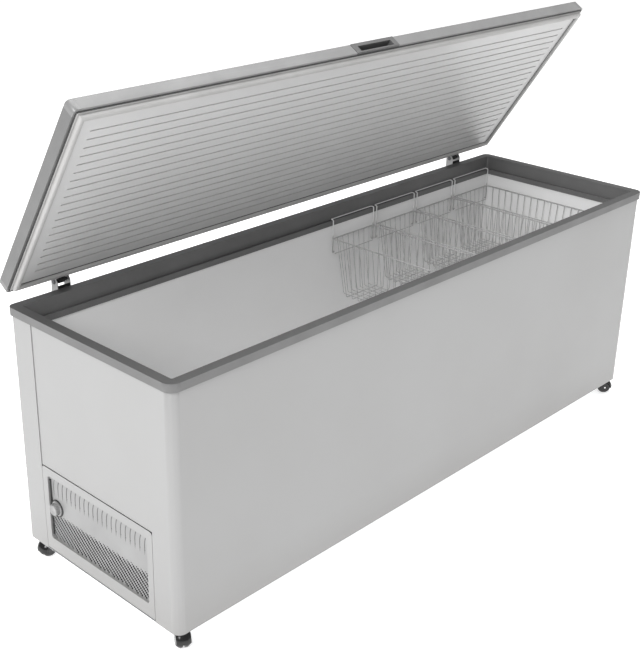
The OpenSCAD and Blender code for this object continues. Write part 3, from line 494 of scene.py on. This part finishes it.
# %% Wire helpers
def rounded(points, radius, steps=4):
    """A route whose inner corners are bends of about that radius."""
    points = [Vector(point) for point in points]
    route = [points[0]]
    for before, corner, after in zip(points, points[1:], points[2:]):
        back, ahead = before - corner, after - corner
        reach = min(radius, back.length / 2, ahead.length / 2)
        start = corner + back.normalized() * reach
        end = corner + ahead.normalized() * reach
        for step in range(steps + 1):
            share = step / steps
            route.append(start.lerp(corner, share).lerp(corner.lerp(end, share), share))
    return [*route, points[-1]]


def join_frame(piece, finish, body, slot, *replaced):
    """Puts a new piece into the scene, on its body, in its finish and in place of the parts it stands for."""
    bpy.context.scene.collection.objects.link(piece)
    piece.data.materials.append(finish.material)
    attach(piece, body)
    if replaced:
        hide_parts(*replaced)
    return piece


def wires(name, routes, finish, body, slot, *replaced):
    """A piece made of round wires. Each route is its points, its radius and whether it is closed."""
    curve = bpy.data.curves.new(name, "CURVE")
    curve.dimensions = "3D"
    curve.bevel_depth = 1 * MM
    curve.bevel_resolution = 2
    curve.use_fill_caps = True
    for points, radius, closed in routes:
        spline = curve.splines.new("POLY")
        spline.points.add(len(points) - 1)
        for point, place in zip(spline.points, points):
            point.co = (*place, 1)
            point.radius = radius / curve.bevel_depth
        spline.use_cyclic_u = closed
    return join_frame(bpy.data.objects.new(name, curve), finish, body, slot, *replaced)


def rounded_loop(half_x, half_y, radius, steps=6):
    """The corners and bends of a rounded rectangle round the origin, in order."""
    loop = []
    for quarter, (side_x, side_y) in enumerate(((1, 1), (-1, 1), (-1, -1), (1, -1))):
        for step in range(steps + 1):
            angle = math.radians(90 * (quarter + step / steps))
            x = side_x * (half_x - radius) + radius * math.cos(angle)
            y = side_y * (half_y - radius) + radius * math.sin(angle)
            loop.append((x, y))
    return loop


print("a rounded loop has", len(rounded_loop(1, 1, 0.1)), "points")

# %% [markdown]
# ## Wire baskets
#
# Each basket is welded from two thicknesses of wire. A thick wire frames the top. Thin wires are bent
# into long and short U shapes that make the sides and the floor together, and they lean in towards
# the foot, so the empty baskets can nest. A thin wire ties each end. At the front and the rear a
# thick loop rises to the ledge of the rim and its ends run down the corners into small curls.

# %% Baskets
THICK, THIN = 2.3 * MM, 1.1 * MM
HOOK_WIRE = 0.8 * THICK
TOP_BEND, HOOK_BEND, FOOT_BEND = 9 * MM, 9 * MM, 6 * MM
FIRST_WIRE_IN = 20 * MM
HOOK_RISE, HOOK_REACH = 65.3 * MM, 11.3 * MM
FOOT_INSET = 22 * MM
LONG_PITCH, SHORT_PITCH = 28.5 * MM, 27 * MM
TIE_DEPTH = 52 * MM
CURL = 7 * MM


def evenly(half, pitch):
    """Places with that pitch, as many as fit within half on both sides of the middle."""
    count = int(half / pitch)
    return [place * pitch for place in range(-count, count + 1)]


def basket(node):
    low, high = (Vector(corner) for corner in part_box(node))
    middle = Vector(((low.x + high.x) / 2, 0, 0))
    hook_y, hook_z = high.y - THICK, high.z - THICK
    top_x, top_y = high.x - middle.x - THICK, hook_y - HOOK_REACH
    top_z, foot_z = hook_z - HOOK_RISE, low.z + THIN
    drop = top_z - foot_z

    def lean(x, y, depth):
        """A place on the basket's side, drawn in towards the foot with its depth below the top."""
        inset = FOOT_INSET * depth / drop
        return middle + Vector((x * (1 - inset / top_x), y * (1 - inset / top_y), top_z - depth))

    top = rounded_loop(top_x, top_y, TOP_BEND)
    routes = [([lean(x, y, 0) for x, y in top], THICK, True)]
    for side in (-1, 1):
        ends = [lean(end * top_x, side * top_y, TIE_DEPTH) for end in (-1, 1)]
        routes.append((ends, THIN, False))
    for y in evenly(top_y - FIRST_WIRE_IN, LONG_PITCH):
        bent = [(-top_x, 0), (-top_x, drop), (top_x, drop), (top_x, 0)]
        routes.append((rounded([lean(x, y, depth) for x, depth in bent], FOOT_BEND), THIN, False))
    for x in evenly(top_x - FIRST_WIRE_IN, SHORT_PITCH):
        under = drop - 2 * THIN
        bent = [(-top_y, 0), (-top_y, under), (top_y, under), (top_y, 0)]
        routes.append((rounded([lean(x, y, depth) for y, depth in bent], FOOT_BEND), THIN, False))
    for side in (-1, 1):
        y, ledge = side * top_y, side * hook_y
        end_z = top_z - TIE_DEPTH
        foot = [(top_x - CURL, y, end_z + CURL), (top_x, y, end_z)]
        half = [*foot, (top_x, y, hook_z), (top_x, ledge, hook_z)]
        loop = [*half, *((-x, y, z) for x, y, z in reversed(half))]
        routes.append((rounded([middle + Vector(point) for point in loop], HOOK_BEND), HOOK_WIRE, False))
    wires(node + "_wires", routes, wire_coat, node, "wire", node)
    return len(routes)


for number in (1, 2, 3, 4):
    print("basket", number, "has", basket("basket_" + str(number)), "wires")

# %% [markdown]
# ## Perforated vent sheet
#
# Behind the opening of the service panel sits a thin steel sheet. Its lower part is punched with
# close rows of holes that run down at a slant, and the holes shrink where the rows end. Its upper part
# has no rows, only one line of small holes and shallow pressed ribs. A flat curve is a good way to
# make a punched sheet: one spline is the outline, every further spline inside it is a hole, and the
# extrusion is the sheet's thickness.

# %% Vent sheet
ROW_STEP = Vector((-4.5 * MM, -3.7 * MM))
ROW_RISE = 16.2 * MM
HOLE_HALF = Vector((2.75 * MM, 4.6 * MM))
SMALL_HOLE_HALF = Vector((1.6 * MM, 1.6 * MM))
ROWS_END, ROWS_FULL = 138 * MM, 118 * MM
SMALL_HOLES_UP = 199 * MM
RIB_PITCH = 19.5 * MM
RIB_PLACES = ((-12 * MM, 0), (0, 26 * MM), (1 * MM, 52 * MM), (1 * MM, 78 * MM))
RIB_SUNK = (0, 0, 0, 1.2 * MM)
RIB_RADIUS, RIB_BEND = 1.3 * MM, 30 * MM
SHEET_EDGE = 10 * MM

sheet_low, sheet_high = (Vector(corner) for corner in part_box("vent_grille"))
knob_low, knob_high = (Vector(corner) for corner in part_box("thermostat_knob"))
knob_middle = (knob_low + knob_high) / 2
knob_radius = (knob_high.y - knob_low.y) / 2
print("knob radius", round(knob_radius / MM, 1), "mm")


def oval(middle, half, count=12):
    """A hole's outline: half its width along the rows, half its width across them."""
    along = ROW_STEP.normalized()
    across = Vector((-along.y, along.x))
    turn = 2 * math.pi / count
    return [
        middle + along * half.x * math.cos(i * turn) + across * half.y * math.sin(i * turn)
        for i in range(count)
    ]


def punched_holes():
    holes = []
    middle_y, rise = (sheet_low.y + sheet_high.y) / 2, sheet_high.z - sheet_low.z
    half = (sheet_high.y - sheet_low.y) / 2 - SHEET_EDGE
    low, knob = sheet_low.z + SHEET_EDGE, Vector((knob_middle.y, knob_middle.z))
    columns, rows = int(half / abs(ROW_STEP.x)), int(rise / ROW_RISE) + 12
    for column in range(-columns, columns + 1):
        for row in range(-2 * rows, 2 * rows):
            place = Vector((middle_y, low)) + ROW_STEP * column + Vector((0, ROW_RISE * row))
            size = (ROWS_END - place.y) / (ROWS_END - ROWS_FULL)
            if low < place.y < ROWS_END - 6 * MM and (place - knob).length > knob_radius:
                holes.append(oval(place, HOLE_HALF * min(size + 0.25, 1)))
    for count in range(-10, 8):
        holes.append(oval(Vector((middle_y + count * RIB_PITCH, SMALL_HOLES_UP)), SMALL_HOLE_HALF, 8))
    return holes


def vent_sheet():
    curve = bpy.data.curves.new("vent_sheet", "CURVE")
    curve.dimensions = "2D"
    curve.fill_mode = "BOTH"
    curve.extrude = 0.5 * MM
    corners = [
        (sheet_low.y, sheet_low.z), (sheet_high.y, sheet_low.z),
        (sheet_high.y, sheet_high.z), (sheet_low.y, sheet_high.z),
    ]
    holes = punched_holes()
    for outline in (corners, *holes):
        spline = curve.splines.new("POLY")
        spline.points.add(len(outline) - 1)
        for point, place in zip(spline.points, outline):
            point.co = (*place, 0, 1)
        spline.use_cyclic_u = True
    sheet = bpy.data.objects.new("vent_sheet", curve)
    sheet.matrix_world = Matrix(((0, 0, 1, sheet_low.x + 0.6 * MM), (1, 0, 0, 0), (0, 1, 0, 0), (0, 0, 0, 1)))
    join_frame(sheet, vent_coat, "cabinet", "perforated_steel", "vent_grille")
    return len(holes)


def vent_ribs():
    routes = []
    front = sheet_low.x + 0.5 * MM
    top, half = sheet_high.z, (sheet_high.y - sheet_low.y) / 2 - SHEET_EDGE
    for count in range(-11, 11):
        y = count * RIB_PITCH
        if abs(y) < half - 14 * MM and (Vector((y, top - 60 * MM)) - knob_middle.yz).length > knob_radius:
            places = [
                Vector((front + down, y + aside, top - below))
                for down, (aside, below) in zip(RIB_SUNK, RIB_PLACES)
            ]
            routes.append((rounded(places, RIB_BEND, 6), RIB_RADIUS, False))
    wires("vent_ribs", routes, rib_shade, "cabinet", "perforated_steel")
    return len(routes)


print("holes:", vent_sheet(), "ribs:", vent_ribs())

# %% [markdown]
# ## Painted shade beside the vent sheet
#
# Along the rear edge of the opening a dark strip paints the shade in the gap between the panel and
# the sheet. It is a straight round wire, so the wire helper makes it too.

# %% Painted shade strip by the vent sheet
GAP_SHADE_RADIUS = 2.4 * MM
gap_shade_x = sheet_low.x - GAP_SHADE_RADIUS
gap_shade_y = sheet_high.y - SHEET_EDGE - 2 * GAP_SHADE_RADIUS
gap_shade_route = [Vector((gap_shade_x, gap_shade_y, z)) for z in (sheet_low.z + 2 * SHEET_EDGE, sheet_high.z - 2 * SHEET_EDGE)]
# A black wire paints the shade in the gap beside the sheet.
wires("vent_gap_shade", [(gap_shade_route, GAP_SHADE_RADIUS, False)], black_plastic, "cabinet", "black_plastic")

# %% [markdown]
# ## Lid gasket
#
# The gasket is an extruded vinyl section that runs round the lid: an outer flange, three fine
# ridges, a soft bulb with a magnet strip in it and an inner flange that lies on the panel. Both
# flanges are painted near black as painted shade for the gaps beside the bulb. A section carried round
# a rounded rectangle makes it in one piece. Each strip of faces belongs to one step of the section, so
# the shaded strips get their material by number. The gasket is made under the shut lid and swung open
# with the lid's matrix.

# %% Gasket
FLANGE_UP = 12.5 * MM
RIDGES_FROM, RIDGE_STEP, RIDGE_HALF = 3.4 * MM, 1.9 * MM, 0.55 * MM
BULB_INSET, BULB_HALF = 17 * MM, 8 * MM
PANEL_UP = 8 * MM
INNER_REACH = 3.2 * MM
GASKET_CORNER = 8 * MM
RIDGE_RISE = 1.6 * MM


def gasket_section(height):
    """Pairs of inset and height: outer flange, three ridges, the bulb, inner flange."""
    section = [(0, height), (0.2 * MM, FLANGE_UP), (RIDGES_FROM, FLANGE_UP)]
    for ridge in range(3):
        start = RIDGES_FROM + ridge * RIDGE_STEP
        crest = FLANGE_UP - RIDGE_RISE
        section += [(start + RIDGE_HALF, crest), (start + 2.4 * RIDGE_HALF, crest)]
        section.append((start + 3 * RIDGE_HALF, FLANGE_UP))
    for step in range(13):
        angle = math.radians(180 - 15 * step)
        fullness = math.sin(angle) ** 0.55
        section.append((BULB_INSET + BULB_HALF * math.cos(angle), PANEL_UP * (1 - fullness)))
    inner = BULB_INSET + BULB_HALF
    return [
        *section,
        (inner + 0.2 * MM, PANEL_UP - 0.5 * MM),
        (inner + INNER_REACH, PANEL_UP - 0.4 * MM),
        (inner + INNER_REACH, PANEL_UP + 0.2 * MM),
        (inner - 1 * MM, height),
    ]


def gasket():
    half_x = (gasket_high.x - gasket_low.x) / 2
    half_y = (gasket_high.y - gasket_low.y) / 2
    rings = []
    section = gasket_section(gasket_high.z - gasket_low.z)
    for inset, up in section:
        loop = rounded_loop(half_x - inset, half_y - inset, max(GASKET_CORNER - inset, 2 * MM), 6)
        rings.append([LID_OPEN @ Vector((x, y, gasket_low.z + up)) for x, y in loop])
    count, around = len(rings), len(rings[0])
    faces = []
    for ring in range(count):
        for step in range(around):
            here, there = ring * around, (ring + 1) % count * around
            following = (step + 1) % around
            faces.append((here + step, here + following, there + following, there + step))
    mesh = bpy.data.meshes.new("gasket_bulb")
    mesh.from_pydata([place for ring in rings for place in ring], [], faces)
    edit = bmesh.new()
    edit.from_mesh(mesh)
    bmesh.ops.recalc_face_normals(edit, faces=edit.faces)
    edit.to_mesh(mesh)
    edit.free()
    mesh.shade_smooth()
    mesh.set_sharp_from_angle(angle=math.radians(40))
    piece = join_frame(bpy.data.objects.new("gasket_bulb", mesh), vinyl, "lid", "gasket", "lid_gasket")
    mesh.materials.append(flange_gap_shade.material)
    # These strips are the two flanges, painted dark as painted shade.
    shaded_strips = {0, 1, count - 4, count - 3, count - 2}
    for face in mesh.polygons:
        face.material_index = int(face.index // around in shaded_strips)
    return len(faces)


print("gasket faces:", gasket())

# %% [markdown]
# ## Thermostat knob
#
# The knob is a turned shape with finger ridges, so it is made like a lathe would make it: rings of
# points round the spindle, whose radius waves in and out where the ridges are.
# A dark ring round its foot on the sheet paints the shade there.

# %% Knob and the painted shade ring round it
RIDGES = 14
AROUND = RIDGES * 8
knob_silver = Finish("knob_silver", tone(0.34), 0.3, metallic=0.35, coat_weight=0.3)
spots = knob_silver.noise(160, 3.0)
knob_silver.link("Base Color", knob_silver.mix(spots, knob_silver.colour, (*tone(0.16), 1)))
knob_silver.bump(knob_silver.noise(1500), 0.08, 0.1 * MM)


def turned(name, profile, finish, body, slot, *replaced):
    """A turned piece on the knob's axis. Profile: distance out from the back, radius, depth of ridges."""
    mesh = bpy.data.meshes.new(name)
    places, faces = [], []
    for out, radius, ridge in profile:
        for step in range(AROUND):
            angle = 2 * math.pi * step / AROUND
            reach = radius - ridge * (0.5 - 0.5 * math.cos(RIDGES * angle)) ** 2
            spot = Vector((-out, reach * math.cos(angle), reach * math.sin(angle)))
            places.append(Vector((knob_high.x, knob_middle.y, knob_middle.z)) + spot)
    for ring in range(len(profile) - 1):
        for step in range(AROUND):
            here, following = ring * AROUND, (step + 1) % AROUND
            faces.append((here + step, here + AROUND + step, here + AROUND + following, here + following))
    faces.append(range(AROUND))
    faces.append(range(len(places) - 1, len(places) - AROUND - 1, -1))
    mesh.from_pydata(places, [], faces)
    edit = bmesh.new()
    edit.from_mesh(mesh)
    bmesh.ops.recalc_face_normals(edit, faces=edit.faces)
    edit.to_mesh(mesh)
    edit.free()
    mesh.shade_smooth()
    piece = join_frame(bpy.data.objects.new(name, mesh), finish, body, slot, *replaced)
    soften(piece, 0.3 * MM)
    return piece


knob_depth = knob_high.x - knob_low.x
knob_profile = [
    (0, knob_radius * 0.9, 0), (0.6 * MM, knob_radius, 0), (3.4 * MM, knob_radius, 0),
    (4.2 * MM, knob_radius * 0.93, 0), (5.0 * MM, knob_radius * 0.84, 1.4 * MM),
    (knob_depth - 3 * MM, knob_radius * 0.78, 1.4 * MM), (knob_depth - 1.2 * MM, knob_radius * 0.7, 0.4 * MM),
    (knob_depth - 0.8 * MM, knob_radius * 0.6, 0), (knob_depth - 1.6 * MM, knob_radius * 0.5, 0),
]
turned("knob_body", knob_profile, knob_silver, "knob", "knob_plastic", "thermostat_knob")

SHADE_RING_WIRE, SHADE_RING_GAP, SHADE_RING_STEPS = 1.6 * MM, 2.2 * MM, 48


def knob_shade_ring():
    foot = Vector((knob_high.x, knob_middle.y, knob_middle.z))
    reach = knob_radius + SHADE_RING_GAP
    loop = []
    for step in range(SHADE_RING_STEPS):
        angle = 2 * math.pi * step / SHADE_RING_STEPS
        loop.append(foot + Vector((-SHADE_RING_WIRE / 2, reach * math.cos(angle), reach * math.sin(angle))))
    # A black wire ring paints the shade round the knob's foot.
    wires("knob_foot_shade", [(loop, SHADE_RING_WIRE, True)], black_plastic, "cabinet", "black_plastic")


knob_shade_ring()
print("knob depth", round(knob_depth / MM, 1), "mm")

# %% [markdown]
# ## Hinge springs
#
# A counterbalance spring sits on each hinge pin. The mechanical model only holds its outer shape, so
# the coil is wound here: a helix as long and as wide as that shape.

# %% Springs
SPRING_WIRE = 1.3 * MM


def springs():
    routes = []
    for low, high in solids("hinge_springs"):
        middle = (low + high) / 2
        reach = (high.z - low.z) / 2 - SPRING_WIRE
        length = high.x - low.x - 2 * SPRING_WIRE
        turns = int(length / (2.6 * SPRING_WIRE))
        points = []
        for step in range(turns * 14 + 1):
            angle = 2 * math.pi * step / 14
            x = low.x + SPRING_WIRE + length * step / (turns * 14)
            points.append((x, middle.y + reach * math.cos(angle), middle.z + reach * math.sin(angle)))
        routes.append((points, SPRING_WIRE, False))
    wires("spring_coils", routes, spring_steel, "cabinet", "spring_steel", "hinge_springs")
    return len(routes)


print("coils:", springs())

# %% [markdown]
# ## Floor and light
#
# A studio shows a white object on a pale floor under soft light. A wide plane is the floor,
# the world gives an even grey-white from all sides, and two large area lamps give the shading: the
# key from the upper left, which makes the end panel the brightest face, and a weak one overhead.

# %% Stage
FLOOR_SIZE = 60.0


def floor_plane():
    mesh = bpy.data.meshes.new("floor")
    half = FLOOR_SIZE / 2
    level = cad_box[0].z
    corners = [(-half, -half, level), (half, -half, level), (half, half, level), (-half, half, level)]
    mesh.from_pydata(corners, [], [(0, 1, 2, 3)])
    plane = bpy.data.objects.new("floor", mesh)
    bpy.context.scene.collection.objects.link(plane)
    paint = Finish("floor_paint", tone(0.92), 0.9, emission_color=(1, 1, 1, 1), emission_strength=0.62)
    paint.link("Base Color", paint.mix(paint.noise(3) * 0.2, paint.colour, (*tone(0.88), 1)))
    mesh.materials.append(paint.material)
    return plane


def lamp(name, place, target, size, power):
    light = bpy.data.lights.new(name, "AREA")
    light.shape = "DISK"
    light.size = size
    light.energy = power
    holder = bpy.data.objects.new(name, light)
    bpy.context.scene.collection.objects.link(holder)
    holder.location = place
    holder.rotation_euler = (Vector(target) - Vector(place)).to_track_quat("-Z", "Y").to_euler()
    return holder


floor_plane()
world = bpy.data.worlds.new("soft_room")
bpy.context.scene.world = world
world.use_nodes = True
world.node_tree.nodes["Background"].inputs[0].default_value = (1, 1, 1, 1)
world.node_tree.nodes["Background"].inputs[1].default_value = 0.46
MIDDLE = (0.0, 0.0, 0.4)
lamp("key", (-5.0, -1.5, 4.0), MIDDLE, 3.0, 246)
lamp("overhead", (0.5, 0.5, 5.0), MIDDLE, 5.0, 200)
bpy.context.scene.view_settings.view_transform = "Standard"
print("floor at z =", round(cad_box[0].z, 4))
